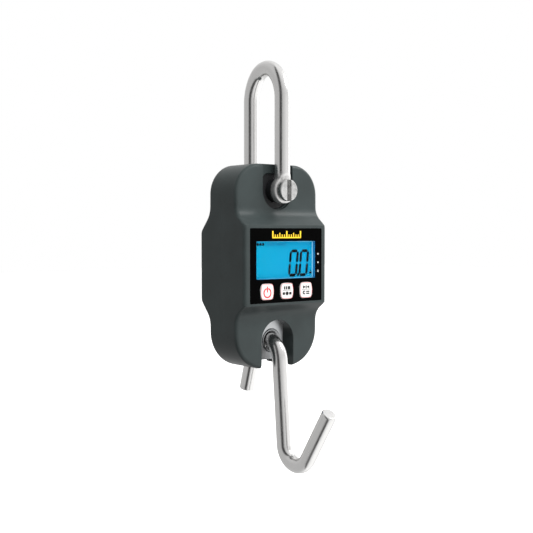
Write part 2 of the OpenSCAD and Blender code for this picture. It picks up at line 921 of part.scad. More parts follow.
module battery_plates() {
    color("#b8bcc0")
        for (s = [-1, 1], i = [0 : 2]) {
            x0 = s > 0 ? battery_len / 2 + 2.9 : -battery_len / 2 - 3.3;
            box([x0, battery_y - 4.4, battery_z(i) - 4.4], [x0 + 0.4, battery_y + 4.4, battery_z(i) + 4.4]);
        }
}

// Pair of leads from the tray to the board, past the side of the load cell
module battery_leads() {
    color("#202020")
        for (i = [0 : 1]) {
            bar_y(-22, panel_z - 4 - 3 * i, 0.7, board_y + board_t, bay_floor_y() - 1.6);
        }
}

module battery_door() {
    color("#434a4a")
        difference() {
            union() {
                prism(rear_y - 1.7, rear_y)
                    translate([0, door_z])
                        round_rect(door_w, door_h, 2);
                prism(rear_y - 3.2, rear_y - 1.6)
                    difference() {
                        translate([0, door_z])
                            round_rect(battery_len + 5.6, door_h - 3, 1.2);
                        translate([0, door_z])
                            round_rect(battery_len + 2.6, door_h - 6, 1);
                    }
                prism(rear_y - 3.2, rear_y - 1.6)
                    intersection() {
                        translate([0, lock_z])
                            circle(4.6);
                        translate([0, door_z])
                            round_rect(battery_len + 5.6, door_h - 3, 1.2);
                    }
            }
            bar_y(0, lock_z, 1.6, rear_y - 10, rear_y + 1);
            bar_y(0, lock_z, 3, rear_y - 1.5, rear_y + 1);
            // Finger grooves
            for (i = [0 : 3])
                box([-9, rear_y - 0.5, door_z - door_h / 2 + 4 + 2.2 * i],
                    [9, rear_y + 1, door_z - door_h / 2 + 5 + 2.2 * i]);
        }
}

module door_seal() {
    color("#15171a")
        prism(rear_y - 2, rear_y - 1.7)
            difference() {
                translate([0, door_z])
                    round_rect(door_w - 1, door_h - 0.4, 1.8);
                translate([0, door_z])
                    round_rect(battery_len + 6.9, door_h - 1.8, 1.2);
            }
}

module door_screw() {
    color("silver")
        difference() {
            union() {
                bar_y(0, lock_z, 2.8, rear_y - 1.45, rear_y - 0.1);
                bar_y(0, lock_z, 1.3, rear_y - 8.5, rear_y - 1.45);
            }
            box([-4, rear_y - 0.8, lock_z - 0.4], [4, rear_y + 1, lock_z + 0.4]);
        }
}

module door_insert() {
    color("#b89a4a")
        difference() {
            bar_y(0, lock_z, insert_r, rear_y - 9.5, rear_y - 4.4);
            bar_y(0, lock_z, 1.36, rear_y - 10, rear_y);
        }
}

shackle_bow();
shackle_pin();
front_shell();
rear_shell();
shell_gasket();
shell_screws();
front_pin_pad();
rear_pin_pad();
front_pin_spacer();
rear_pin_spacer();
load_cell();
cell_screws();
strain_gauges();
gauge_sealant();
gauge_leads();
hook_bush();
s_hook();
front_panel();
display_window();
lcd_glass();
backlight();
main_board();
board_screws();
converter_chip();
buzzer();
key_switches();
key_power();
key_hold();
key_tare();
battery_1();
battery_2();
battery_3();
battery_springs();
battery_plates();
battery_leads();
battery_door();
door_seal();
door_screw();
door_insert();
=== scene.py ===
import json
import math
import bpy
import bmesh
import numpy as np
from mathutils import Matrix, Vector

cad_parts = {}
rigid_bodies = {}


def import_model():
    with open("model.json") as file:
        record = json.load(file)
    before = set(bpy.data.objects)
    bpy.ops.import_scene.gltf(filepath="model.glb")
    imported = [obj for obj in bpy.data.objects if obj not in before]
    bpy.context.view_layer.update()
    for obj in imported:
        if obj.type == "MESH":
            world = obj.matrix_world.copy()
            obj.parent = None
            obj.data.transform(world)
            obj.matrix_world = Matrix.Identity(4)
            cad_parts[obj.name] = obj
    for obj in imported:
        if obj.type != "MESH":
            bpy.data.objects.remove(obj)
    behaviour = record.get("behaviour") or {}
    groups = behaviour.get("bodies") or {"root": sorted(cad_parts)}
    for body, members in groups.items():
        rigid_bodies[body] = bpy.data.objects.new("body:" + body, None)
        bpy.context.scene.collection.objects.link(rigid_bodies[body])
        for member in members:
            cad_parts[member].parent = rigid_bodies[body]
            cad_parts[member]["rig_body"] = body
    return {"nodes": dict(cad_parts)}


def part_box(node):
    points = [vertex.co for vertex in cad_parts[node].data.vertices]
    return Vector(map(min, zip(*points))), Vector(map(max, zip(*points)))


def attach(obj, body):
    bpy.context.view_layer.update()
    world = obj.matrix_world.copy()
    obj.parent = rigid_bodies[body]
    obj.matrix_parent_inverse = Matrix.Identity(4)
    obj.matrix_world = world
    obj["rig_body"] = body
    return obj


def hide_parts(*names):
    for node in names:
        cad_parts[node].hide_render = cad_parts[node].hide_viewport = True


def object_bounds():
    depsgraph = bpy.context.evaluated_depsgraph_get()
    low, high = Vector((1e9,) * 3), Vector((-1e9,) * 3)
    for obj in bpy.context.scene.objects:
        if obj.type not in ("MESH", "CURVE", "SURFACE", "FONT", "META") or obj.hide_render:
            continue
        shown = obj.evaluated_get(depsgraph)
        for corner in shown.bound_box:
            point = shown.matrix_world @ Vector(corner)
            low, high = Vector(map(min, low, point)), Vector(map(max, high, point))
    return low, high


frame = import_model()
cadBox = [list(corner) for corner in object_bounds()]
nodes = frame["nodes"]
mm = 0.001
print("frame loaded:", len(nodes), "CAD nodes")


def spot(node):
    # lowest and highest corner of a CAD node, in mm
    low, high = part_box(node)
    return np.array(low) / mm, np.array(high) / mm


def middle(node):
    low, high = spot(node)
    return (low + high) / 2


# Colours and nodes

def linear(hexColour):
    # sRGB to linear: c / 12.92 up to 0.04045, else ((c + 0.055) / 1.055) to the power 2.4
    c = np.array([int(hexColour[i:i + 2], 16) for i in (1, 3, 5)]) / 255
    return (*np.where(c <= 0.04045, c / 12.92, ((c + 0.055) / 1.055) ** 2.4), 1.0)


def addNode(tree, kind, settings=None, links=None):
    # settings name a node's own choices or its sockets; links join sockets to other nodes' outputs
    node = tree.nodes.new("ShaderNode" + kind)
    for key, value in (settings or {}).items():
        if key == "stops":
            while len(node.color_ramp.elements) < len(value):
                node.color_ramp.elements.new(0.5)
            for element, (position, colour) in zip(node.color_ramp.elements, value):
                element.position, element.color = position, colour
        elif isinstance(key, str) and hasattr(node, key):
            setattr(node, key, value)
        else:
            node.inputs[key].default_value = value
    for key, socket in (links or {}).items():
        tree.links.new(socket, node.inputs[key])
    return node


def startMaterial(name):
    material = bpy.data.materials.new(name)
    material.use_nodes = True
    material.node_tree.nodes.clear()
    return material, material.node_tree


def closeMaterial(tree, settings, links):
    surface = addNode(tree, "BsdfPrincipled", settings, links)
    addNode(tree, "OutputMaterial", None, {"Surface": surface.outputs[0]})


def per(size):
    # noise scale that gives features of this many mm
    return 1 / (size * mm)


def grey(level):
    return (level, level, level, 1.0)


# A soft mottle of a colour, grain in the bump and cloudy gloss, for moulded, painted and cast surfaces
def mouldedMaterial(name, low, high, rough, grain, depth, cloud=18, **extra):
    material, tree = startMaterial(name)
    place = addNode(tree, "TexCoord").outputs["Object"]
    cloudy = addNode(tree, "TexNoise", {"Scale": per(cloud), "Detail": 3.0}, {"Vector": place})
    fine = addNode(tree, "TexNoise", {"Scale": per(grain), "Detail": 2.0, "Roughness": 0.6},
                   {"Vector": place})
    colour = addNode(tree, "ValToRGB", {"stops": [(0.35, linear(low)), (0.68, linear(high))]},
                     {"Fac": cloudy.outputs["Fac"]})
    gloss = addNode(tree, "MapRange", {"From Min": 0.3, "From Max": 0.7, "To Min": rough[0],
                                       "To Max": rough[1]}, {"Value": cloudy.outputs["Fac"]})
    bump = addNode(tree, "Bump", {"Strength": 0.5, "Distance": depth * mm}, {"Height": fine.outputs["Fac"]})
    closeMaterial(tree, extra, {"Base Color": colour.outputs[0], "Roughness": gloss.outputs[0],
                                "Normal": bump.outputs[0]})
    return material


# Metal with a satin grain along the bar: streaks come from noise stretched along v of the bar's own map.
# Near its foot the surface turns duller: foot holds the heights in mm between which that fades, and how much.
# The foot given here lies far below the scale, so that nothing turns duller
def barMaterial(name, low, high, rough, streak, lengthwise, foot=(-400, -399, 0)):
    material, tree = startMaterial(name)
    unrolled = addNode(tree, "UVMap", {"uv_map": "alongBar"}).outputs["UV"]
    place = addNode(tree, "TexCoord").outputs["Object"]
    stretched = addNode(tree, "Mapping", {"Scale": (1.0, lengthwise, 1.0)}, {"Vector": unrolled})
    streaks = addNode(tree, "TexNoise", {"Scale": 1 / streak, "Detail": 4.0, "Roughness": 0.65},
                      {"Vector": stretched.outputs[0]})
    handled = addNode(tree, "TexNoise", {"Scale": per(7), "Detail": 4.0}, {"Vector": place})
    tone = addNode(tree, "ValToRGB", {"stops": [(0.3, linear(low)), (0.7, linear(high))]},
                   {"Fac": streaks.outputs["Fac"]})
    both = addNode(tree, "Math", {"operation": "ADD"}, {0: streaks.outputs["Fac"], 1: handled.outputs["Fac"]})
    gloss = addNode(tree, "MapRange", {"From Min": 0.7, "From Max": 1.3, "To Min": rough[0],
                                       "To Max": rough[1]}, {"Value": both.outputs[0]})
    height = addNode(tree, "SeparateXYZ", None, {0: place}).outputs["Z"]
    dull = addNode(tree, "MapRange", {"interpolation_type": "SMOOTHSTEP", "From Min": foot[0] * mm,
                                      "From Max": foot[1] * mm, "To Min": foot[2], "To Max": 0.0},
                   {"Value": height})
    rougher = addNode(tree, "Math", {"operation": "ADD"}, {0: gloss.outputs[0], 1: dull.outputs[0]})
    bump = addNode(tree, "Bump", {"Strength": 0.5, "Distance": 0.04 * mm}, {"Height": streaks.outputs["Fac"]})
    closeMaterial(tree, {"Metallic": 1.0},
                  {"Base Color": tone.outputs[0], "Roughness": rougher.outputs[0], "Normal": bump.outputs[0]})
    return material


# Turned metal: rings round an axis along Y through centre, one ring each pitch of mm, where the wave
# pattern repeats after 2 pi / 20 divided by its scale
def turnedMaterial(name, low, high, rough, centre, pitch, depth=0.02):
    material, tree = startMaterial(name)
    place = addNode(tree, "TexCoord").outputs["Object"]
    centred = addNode(tree, "Mapping", {"Location": tuple(-np.array(centre) * mm)}, {"Vector": place})
    rings = addNode(tree, "TexWave", {"wave_type": "RINGS", "rings_direction": "Y",
                                      "Scale": 2 * math.pi / 20 / (pitch * mm), "Distortion": 0.6,
                                      "Detail": 2.0}, {"Vector": centred.outputs[0]})
    handled = addNode(tree, "TexNoise", {"Scale": per(3), "Detail": 4.0}, {"Vector": place})
    tone = addNode(tree, "ValToRGB", {"stops": [(0.3, linear(low)), (0.7, linear(high))]},
                   {"Fac": handled.outputs["Fac"]})
    gloss = addNode(tree, "MapRange", {"To Min": rough[0], "To Max": rough[1]},
                    {"Value": handled.outputs["Fac"]})
    bump = addNode(tree, "Bump", {"Strength": 0.4, "Distance": depth * mm}, {"Height": rings.outputs["Fac"]})
    closeMaterial(tree, {"Metallic": 1.0},
                  {"Base Color": tone.outputs[0], "Roughness": gloss.outputs[0], "Normal": bump.outputs[0]})
    return material


# A lit display: the colour runs from its left edge to its right one, and glows
def litMaterial(name, left, right, halfWidth, glow):
    material, tree = startMaterial(name)
    place = addNode(tree, "TexCoord").outputs["Object"]
    cloud = addNode(tree, "TexNoise", {"Scale": per(16), "Detail": 1.0}, {"Vector": place})
    across = addNode(tree, "SeparateXYZ", None, {0: place})
    along = addNode(tree, "MapRange", {"From Min": -halfWidth * mm, "From Max": halfWidth * mm},
                    {"Value": across.outputs["X"]})
    mixed = addNode(tree, "Math", {"operation": "MULTIPLY_ADD", 1: 0.25, 2: -0.12},
                    {0: cloud.outputs["Fac"]})
    total = addNode(tree, "Math", {"operation": "ADD", "use_clamp": True},
                    {0: along.outputs[0], 1: mixed.outputs[0]})
    colour = addNode(tree, "ValToRGB", {"stops": [(0.0, linear(left)), (1.0, linear(right))]},
                     {"Fac": total.outputs[0]})
    closeMaterial(tree, {"Roughness": 0.3, "Specular IOR Level": 0.05, "Emission Strength": glow},
                  {"Base Color": colour.outputs[0], "Emission Color": colour.outputs[0]})
    return material


# Clear moulded or cast sheet that light passes through; its index is near that of air, as a coat against
# glare leaves hardly any reflection
def clearMaterial(name, tint, rough):
    material, tree = startMaterial(name)
    place = addNode(tree, "TexCoord").outputs["Object"]
    ripple = addNode(tree, "TexNoise", {"Scale": per(9), "Detail": 1.0}, {"Vector": place})
    gloss = addNode(tree, "MapRange", {"To Min": rough[0], "To Max": rough[1]},
                    {"Value": ripple.outputs["Fac"]})
    closeMaterial(tree, {"Base Color": linear(tint), "IOR": 1.1, "Transmission Weight": 1.0},
                  {"Roughness": gloss.outputs[0]})
    return material


pinAxis = middle("shackle_pin")
doorScrewAxis = middle("door_screw")
finishes = {
    # stainless steel bar, drawn and belt-polished: fine streaks along the bar, soft stretched highlights
    "stainlessBelted": barMaterial("stainlessBelted", "#d2d1d0", "#f4f3f2", (0.18, 0.30), 0.5, 0.05),
    # the same bar with its eyes forged flat and blasted: duller and paler low down
    "stainlessForgedEye": barMaterial("stainlessForgedEye", "#d2d1d0", "#f4f3f2", (0.18, 0.30), 0.5, 0.05,
                                      foot=(-68, -61, 0.30)),
    # zinc-plated steel, turned: faint rings on the flat face, brighter than the bar
    "steelTurned": turnedMaterial("steelTurned", "#b2b2b1", "#d8d8d7", (0.20, 0.32),
                                  (0, 0, pinAxis[2]), 0.45),
    # ABS, moulded with a spark-eroded grain: slate grey, silky, with a fine even tooth
    "absSparkGrain": mouldedMaterial("absSparkGrain", "#2f3535", "#343b3b", (0.28, 0.36), 0.35, 0.012,
                                     **{"Specular IOR Level": 0.2}),
    "absDoorGrain": mouldedMaterial("absDoorGrain", "#2e3434", "#333a3a", (0.28, 0.36), 0.35, 0.012,
                                    **{"Specular IOR Level": 0.2}),
    # polyester film with a glare-free coat, back-printed: deep black with hardly any texture
    "filmBlackMatt": mouldedMaterial("filmBlackMatt", "#010101", "#020202", (0.25, 0.35), 0.8, 0.002,
                                     **{"Specular IOR Level": 0.02}),
    # acrylic, cast and coated against glare: clear with a weak, sharp reflection
    "acrylicClear": clearMaterial("acrylicClear", "#f4fbff", (0.0, 0.02)),
    # liquid crystal glass with a light plate behind it: an even blue glow
    "lcdBacklit": litMaterial("lcdBacklit", "#00728c", "#006f90", 27, 0.7),
    # milky acrylic light plate, moulded: white and soft
    "acrylicMilky": mouldedMaterial("acrylicMilky", "#dfeaf0", "#eef5f8", (0.3, 0.4), 1.0, 0.004),
    # silicone rubber key, moulded and coated: clean white, soft sheen
    "siliconeWhite": mouldedMaterial("siliconeWhite", "#d3d1cf", "#dedcda", (0.38, 0.46), 0.5, 0.004),
    # pad-printed inks: flat, slightly satin
    "inkRed": mouldedMaterial("inkRed", "#c41a28", "#d02531", (0.4, 0.5), 0.4, 0.002),
    "inkBlack": mouldedMaterial("inkBlack", "#0b0c0d", "#141517", (0.5, 0.6), 0.4, 0.002,
                                **{"Specular IOR Level": 0.2}),
    "inkYellow": mouldedMaterial("inkYellow", "#f2c312", "#fbd428", (0.4, 0.5), 0.4, 0.002),
    "inkWhite": mouldedMaterial("inkWhite", "#b4b4b2", "#c4c4c2", (0.4, 0.5), 0.4, 0.002),
    # liquid crystal segments, switched on: nearly black, and faint grey when off
    "segmentDark": mouldedMaterial("segmentDark", "#03090a", "#060e10", (0.3, 0.4), 0.8, 0.001,
                                   **{"Specular IOR Level": 0.05}),
    "segmentFaint": mouldedMaterial("segmentFaint", "#0a5f86", "#10688f", (0.3, 0.4), 0.8, 0.001,
                                    **{"Specular IOR Level": 0.05}),
    # acrylic liner with a painted glow: the display's light falling on it is painted in as its own emission
    "linerPaintedGlow": litMaterial("linerPaintedGlow", "#1b6c9c", "#1f74a4", 27, 0.25),
    # painted highlight: a glowing band that turns pale towards the right, where the window's edge catches the
    # light
    "paintedHighlightGlow": litMaterial("paintedHighlightGlow", "#258fae", "#8ec4cc", 27, 0.45),
    # nitrile rubber, moulded: dull black. On the two pin pads it is painted shade: dark pads set in the
    # pocket round the pin, where there is only shade
    "rubberMattAndPaintedShade": mouldedMaterial("rubberMattAndPaintedShade", "#141516", "#1c1d1f", (0.62, 0.75), 0.4, 0.01),
    # nylon, moulded: black with a waxy sheen
    "nylonBlack": mouldedMaterial("nylonBlack", "#191a1c", "#222426", (0.42, 0.52), 0.6, 0.006),
    # aluminium alloy, milled: pale, with a dull sheen
    "alloyMilled": mouldedMaterial("alloyMilled", "#b4b6b8", "#cacccd", (0.28, 0.4), 0.6, 0.01,
                                   **{"Metallic": 1.0}),
    # steel, ground: grey with a soft shine
    "steelGround": mouldedMaterial("steelGround", "#9a9c9e", "#b4b6b7", (0.22, 0.34), 0.5, 0.008,
                                   **{"Metallic": 1.0}),
    # zinc-plated steel screws, cold headed: bright and a little uneven
    "zincPlated": mouldedMaterial("zincPlated", "#b6b9bb", "#d3d5d6", (0.2, 0.34), 0.7, 0.01,
                                  **{"Metallic": 1.0}),
    # nickel-plated spring steel: warm and bright
    "nickelPlated": mouldedMaterial("nickelPlated", "#c2bfb6", "#dbd8cf", (0.14, 0.24), 0.7, 0.006,
                                    **{"Metallic": 1.0}),
    # brass, turned: yellow, with faint rings
    "brassTurned": turnedMaterial("brassTurned", "#b08d3c", "#caa653", (0.2, 0.32),
                                  (doorScrewAxis[0], 0, doorScrewAxis[2]), 0.4),
    # glass-fibre board with solder resist, screen printed: even green, half gloss
    "resistGreen": mouldedMaterial("resistGreen", "#134a28", "#1b6236", (0.25, 0.35), 0.6, 0.006),
    # epoxy of chips and small electric parts, moulded: even black, half matt
    "epoxyBlack": mouldedMaterial("epoxyBlack", "#161618", "#202023", (0.4, 0.5), 0.3, 0.006),
    # polyimide foil of strain gauges: amber and smooth
    "foilAmber": mouldedMaterial("foilAmber", "#a5671f", "#c78a3a", (0.25, 0.35), 0.5, 0.004),
    # silicone sealant, laid by hand: milky and lumpy
    "siliconeSealant": mouldedMaterial("siliconeSealant", "#dcdcd6", "#ecece8", (0.35, 0.5), 2.5, 0.15),
    # PVC wire coats, extruded: smooth, half gloss
    "pvcRed": mouldedMaterial("pvcRed", "#8f1f1a", "#a82a22", (0.35, 0.45), 0.5, 0.004),
    "pvcBlack": mouldedMaterial("pvcBlack", "#1a1a1b", "#242426", (0.35, 0.45), 0.5, 0.004),
    # shrink sleeve on a dry cell, printed: glossy blue
    "sleeveBlue": mouldedMaterial("sleeveBlue", "#1c4a86", "#2a5f9f", (0.15, 0.22), 1.2, 0.003),
}
nodeFinish = {
    "shackle_bow": "stainlessForgedEye", "shackle_pin": "steelTurned", "front_shell": "absSparkGrain",
    "rear_shell": "absSparkGrain", "shell_gasket": "rubberMattAndPaintedShade", "shell_screws": "zincPlated",
    # the pin pads are painted shade, dark rubber filling the shaded pocket round the pin; the gasket and the
    # door seal are real rubber
    "front_pin_pad": "rubberMattAndPaintedShade", "rear_pin_pad": "rubberMattAndPaintedShade", "front_pin_spacer": "nylonBlack",
    "rear_pin_spacer": "nylonBlack", "load_cell": "alloyMilled", "cell_screws": "zincPlated",
    "strain_gauges": "foilAmber", "gauge_sealant": "siliconeSealant", "gauge_leads": "pvcRed",
    "hook_bush": "steelGround", "s_hook": "stainlessBelted", "front_panel": "filmBlackMatt",
    "display_window": "acrylicClear", "lcd_glass": "lcdBacklit", "backlight": "acrylicMilky",
    "main_board": "resistGreen", "board_screws": "zincPlated", "converter_chip": "epoxyBlack",
    "buzzer": "epoxyBlack", "key_switches": "epoxyBlack", "key_power": "siliconeWhite",
    "key_hold": "siliconeWhite", "key_tare": "siliconeWhite", "battery_1": "sleeveBlue",
    "battery_2": "sleeveBlue", "battery_3": "sleeveBlue", "battery_springs": "nickelPlated",
    "battery_plates": "nickelPlated", "battery_leads": "pvcBlack", "battery_door": "absDoorGrain",
    "door_seal": "rubberMattAndPaintedShade", "door_screw": "zincPlated", "door_insert": "brassTurned",
}
for name, finish in nodeFinish.items():
    mesh = nodes[name].data
    mesh.materials.clear()
    mesh.materials.append(finishes[finish])
print("materials made:", len(finishes))


# Camera at the hanging scale's left front, a little above its middle
cameraPlace = {"spot": (-386.155, -476.764, -100.655), "aim": (-0.05, 0.04, -123.9), "lens": 63.208}
camera = bpy.data.objects.new("camera", bpy.data.cameras.new("camera"))
bpy.context.scene.collection.objects.link(camera)
camera.location = Vector(cameraPlace["spot"]) * mm
gaze = Vector(cameraPlace["aim"]) * mm - camera.location
camera.rotation_euler = gaze.to_track_quat("-Z", "Y").to_euler()
camera.data.lens, camera.data.sensor_width = cameraPlace["lens"], 36
camera.data.clip_start, camera.data.clip_end = 0.01, 20
bpy.context.scene.camera = camera

# Soft boxes: direction from the scale in degrees round it and up, distance and size in metres, power in
# watts, and whether shiny surfaces mirror the box or are only lit by it
boxes = {
    "frontBox": {"around": 4, "up": 44, "far": 1.5, "size": (2.2, 1.5), "watts": 43, "mirrored": False},
    "rightBox": {"around": 88, "up": 6, "far": 1.3, "size": (1.0, 1.6), "watts": 5.0, "mirrored": True},
    "slopeBox": {"around": 57, "up": 41, "far": 1.1, "size": (0.45, 0.3), "watts": 2.2, "mirrored": True},
}
centre = Vector((0, 0, -0.124))  # the scale's middle, in metres
for name, box in boxes.items():
    lamp = bpy.data.objects.new(name, bpy.data.lights.new(name, "AREA"))
    bpy.context.scene.collection.objects.link(lamp)
    around, up = math.radians(box["around"]), math.radians(box["up"])
    away = Vector((math.sin(around) * math.cos(up), -math.cos(around) * math.cos(up), math.sin(up)))
    lamp.location = centre + away * box["far"]
    lamp.rotation_euler = (-away).to_track_quat("-Z", "Y").to_euler()
    lamp.data.shape, lamp.data.size, lamp.data.size_y = "RECTANGLE", *box["size"]
    lamp.data.energy = box["watts"]
    lamp.visible_glossy = box["mirrored"]

# Pale room: lighter overhead and on the right, with one dark gap that gives the metal its dark streak.
# Each share of the light is a smooth step of how far a ray points towards a direction, where level ones
# leave out how steep the ray is
room = {"light": 0.70, "backdrop": 1.0}
shares = [
    {"around": -63, "up": 0, "level": True, "from": math.cos(math.radians(25)),
     "to": math.cos(math.radians(10)), "low": 1.0, "high": 0.11},
    {"around": -105, "up": 0, "level": True, "from": -1.0, "to": 1.0, "low": 1.25, "high": 0.82},
    {"around": 0, "up": 90, "level": False, "from": 0.25, "to": 0.85, "low": 1.0, "high": 1.2},
    {"around": 30, "up": -50, "level": False, "from": 0.35, "to": 0.9, "low": 1.0, "high": 1.5},
]
world = bpy.data.worlds.new("paleRoom")
bpy.context.scene.world = world
world.use_nodes = True
tree = world.node_tree
tree.nodes.clear()
look = addNode(tree, "TexCoord").outputs["Generated"]
flat = addNode(tree, "VectorMath", {"operation": "MULTIPLY", 1: (1, 1, 0)}, {0: look})
level = addNode(tree, "VectorMath", {"operation": "NORMALIZE"}, {0: flat.outputs[0]}).outputs[0]
tone = addNode(tree, "Value")
tone.outputs[0].default_value = room["light"]
for share in shares:
    around, up = math.radians(share["around"]), math.radians(share["up"])
    towards = (math.sin(around) * math.cos(up), -math.cos(around) * math.cos(up), math.sin(up))
    facing = addNode(tree, "VectorMath", {"operation": "DOT_PRODUCT", 1: towards},
                     {0: level if share["level"] else look})
    step = addNode(tree, "MapRange", {"interpolation_type": "SMOOTHSTEP", "From Min": share["from"],
                                      "From Max": share["to"], "To Min": share["low"],
                                      "To Max": share["high"]}, {"Value": facing.outputs["Value"]})
    tone = addNode(tree, "Math", {"operation": "MULTIPLY"}, {0: tone.outputs[0], 1: step.outputs[0]})
lit = addNode(tree, "Background", None, {"Color": tone.outputs[0]})
backdrop = addNode(tree, "Background", {"Color": grey(room["backdrop"])})
seen = addNode(tree, "LightPath")
mixed = addNode(tree, "MixShader", None, {0: seen.outputs["Is Camera Ray"], 1: lit.outputs[0],
                                          2: backdrop.outputs[0]})
addNode(tree, "OutputWorld", None, {"Surface": mixed.outputs[0]})
bpy.context.scene.view_settings.view_transform = "Standard"

# Pale floor below the hook, which glows a little so that it melts into the backdrop
floorPlace = {"drop": 60, "half": 4000, "glow": 0.55}
floorAt = (cadBox[0][2] / mm - floorPlace["drop"]) * mm
floorReach = floorPlace["half"] * mm
floorSigns = ((-1, -1), (1, -1), (1, 1), (-1, 1))
floorCorners = [(sx * floorReach, sy * floorReach, floorAt) for sx, sy in floorSigns]
floorMesh = bpy.data.meshes.new("paleFloor")
floorMesh.from_pydata(floorCorners, [], [(0, 1, 2, 3)])
floor = bpy.data.objects.new("paleFloor", floorMesh)
bpy.context.scene.collection.objects.link(floor)
floorGlow = {"Emission Color": grey(1.0), "Emission Strength": floorPlace["glow"]}
paper = mouldedMaterial("paperPale", "#f0f0f0", "#f8f8f8", (0.7, 0.8), 2.0, 0.01, cloud=200, **floorGlow)
floorMesh.materials.append(paper)
floor.visible_diffuse = floor.visible_glossy = False
print("stage, camera and lights made")


# Mesh making

def tubeFaces(rings, around, offset, closedPath=False):
    # quads between neighbouring rings, with an end cap at the first and the last unless the path closes
    i = np.arange(rings if closedPath else rings - 1)[:, None]
    j = np.arange(around)[None, :]
    after, beside = (i + 1) % rings, (j + 1) % around
    corners = [(i * around + j), (i * around + beside), (after * around + beside), (after * around + j)]
    grid = np.stack([np.broadcast_to(c, (len(i), around)) for c in corners], -1)
    faces = (grid.reshape(-1, 4) + offset).tolist()
    if not closedPath:
        faces += [list(range(offset, offset + around)),
                  list(range(offset + (rings - 1) * around, offset + rings * around))]
    return faces


def buildPiece(name, blocks, finish, body, standsFor=(), closedPath=False, sharp=38,
               unrolled=None):
    # each block is an array of rings, (rings, points round each, 3) in mm, and doubled points at poles are
    # merged; unrolled holds how far along the bar each ring lies, and the bar's girth
    points, faces = [], []
    for block in blocks:
        offset = sum(len(p) for p in points)
        rings, around = block.shape[:2]
        faces += tubeFaces(rings, around, offset, closedPath)
        points.append(block.reshape(-1, 3))
    mesh = bpy.data.meshes.new(name)
    mesh.from_pydata((np.concatenate(points) * mm).tolist(), [], faces)
    if unrolled is not None:
        # u runs round the bar and v along it, in metres
        flat = np.array([c for f in faces for c in f])
        wrap = np.zeros((len(flat), 2))
        sizes = np.array([len(f) for f in faces])
        starts = np.concatenate([[0], np.cumsum(sizes)[:-1]])
        around = blocks[0].shape[1]
        wrap[:, 0] = (flat % around) * unrolled[1] / around * mm
        quads = starts[sizes == 4]
        for corner in (1, 2):
            last = quads[(flat[quads + corner] % around) == 0] + corner
            wrap[last, 0] = unrolled[1] * mm
        wrap[:, 1] = unrolled[0][flat // around] * mm
        mesh.uv_layers.new(name="alongBar").data.foreach_set("uv", wrap.ravel())
    soup = bmesh.new()
    soup.from_mesh(mesh)
    bmesh.ops.remove_doubles(soup, verts=soup.verts, dist=0.002 * mm)
    bmesh.ops.recalc_face_normals(soup, faces=soup.faces)
    soup.to_mesh(mesh)
    soup.free()
    mesh.shade_smooth()
    mesh.set_sharp_from_angle(angle=math.radians(sharp))
    mesh.materials.append(finishes[finish])
    piece = bpy.data.objects.new(name, mesh)
    bpy.context.scene.collection.objects.link(piece)
    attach(piece, body)
    if standsFor:
        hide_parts(*standsFor)
    return piece


def smoothRamp(value, start, end):
    # 0 before start, 1 after end, a cosine half wave between
    t = np.clip((value - start) / (end - start), 0, 1)
    return (1 - np.cos(math.pi * t)) / 2


def bentBar(path, sides=56):
    # rings of superellipses across a path in the Y-Z plane; path rows: y, z, direction in degrees
    # from +Y towards +Z, half width in X, half thickness in the plane, power of the superellipse
    y, z, heading, wide, thick, power = (path[:, k][:, None] for k in range(6))
    t = np.linspace(0, 2 * math.pi, sides, endpoint=False)[None, :]
    c, s = np.cos(t), np.sin(t)
    across = wide * np.sign(c) * np.abs(c) ** (2 / power)
    off = thick * np.sign(s) * np.abs(s) ** (2 / power)
    a = np.radians(heading)
    return np.stack([across, y - off * np.sin(a), z + off * np.cos(a)], -1)


def travel(path):
    # distance along a path from its start
    steps = np.hypot(np.diff(path[:, 0]), np.diff(path[:, 1]))
    return np.concatenate([[0], np.cumsum(steps)])


def arcRows(centre, radius, start, sweep, count, bar):
    # points of an arc with the heading that follows it
    t = start + sweep * np.linspace(0, 1, count)
    r = np.radians(t)
    turn = 90 if sweep > 0 else -90
    rows = [centre[0] + radius * np.cos(r), centre[1] + radius * np.sin(r), t + turn]
    return np.stack(rows + [np.full(count, v) for v in bar], -1)


# Shackle bow: eye, flattened neck, leg, wide shoulder, narrower crown, and the same down the other side.
# The section is a superellipse, nearly square in the eye and round in the bar
bow = {"rod": 5.0, "leg": 16.0, "pin": pinAxis[2], "eye": 8.4, "eyeHalf": 2.85, "eyeAt": 16.15,
       "crown": 13.0, "crownHalf": 48, "neckFrom": 6.2, "neckTall": 5.0, "fillet": 1.8,
       "eyePower": 7, "barPower": 2, "powerFrom": 4.5}


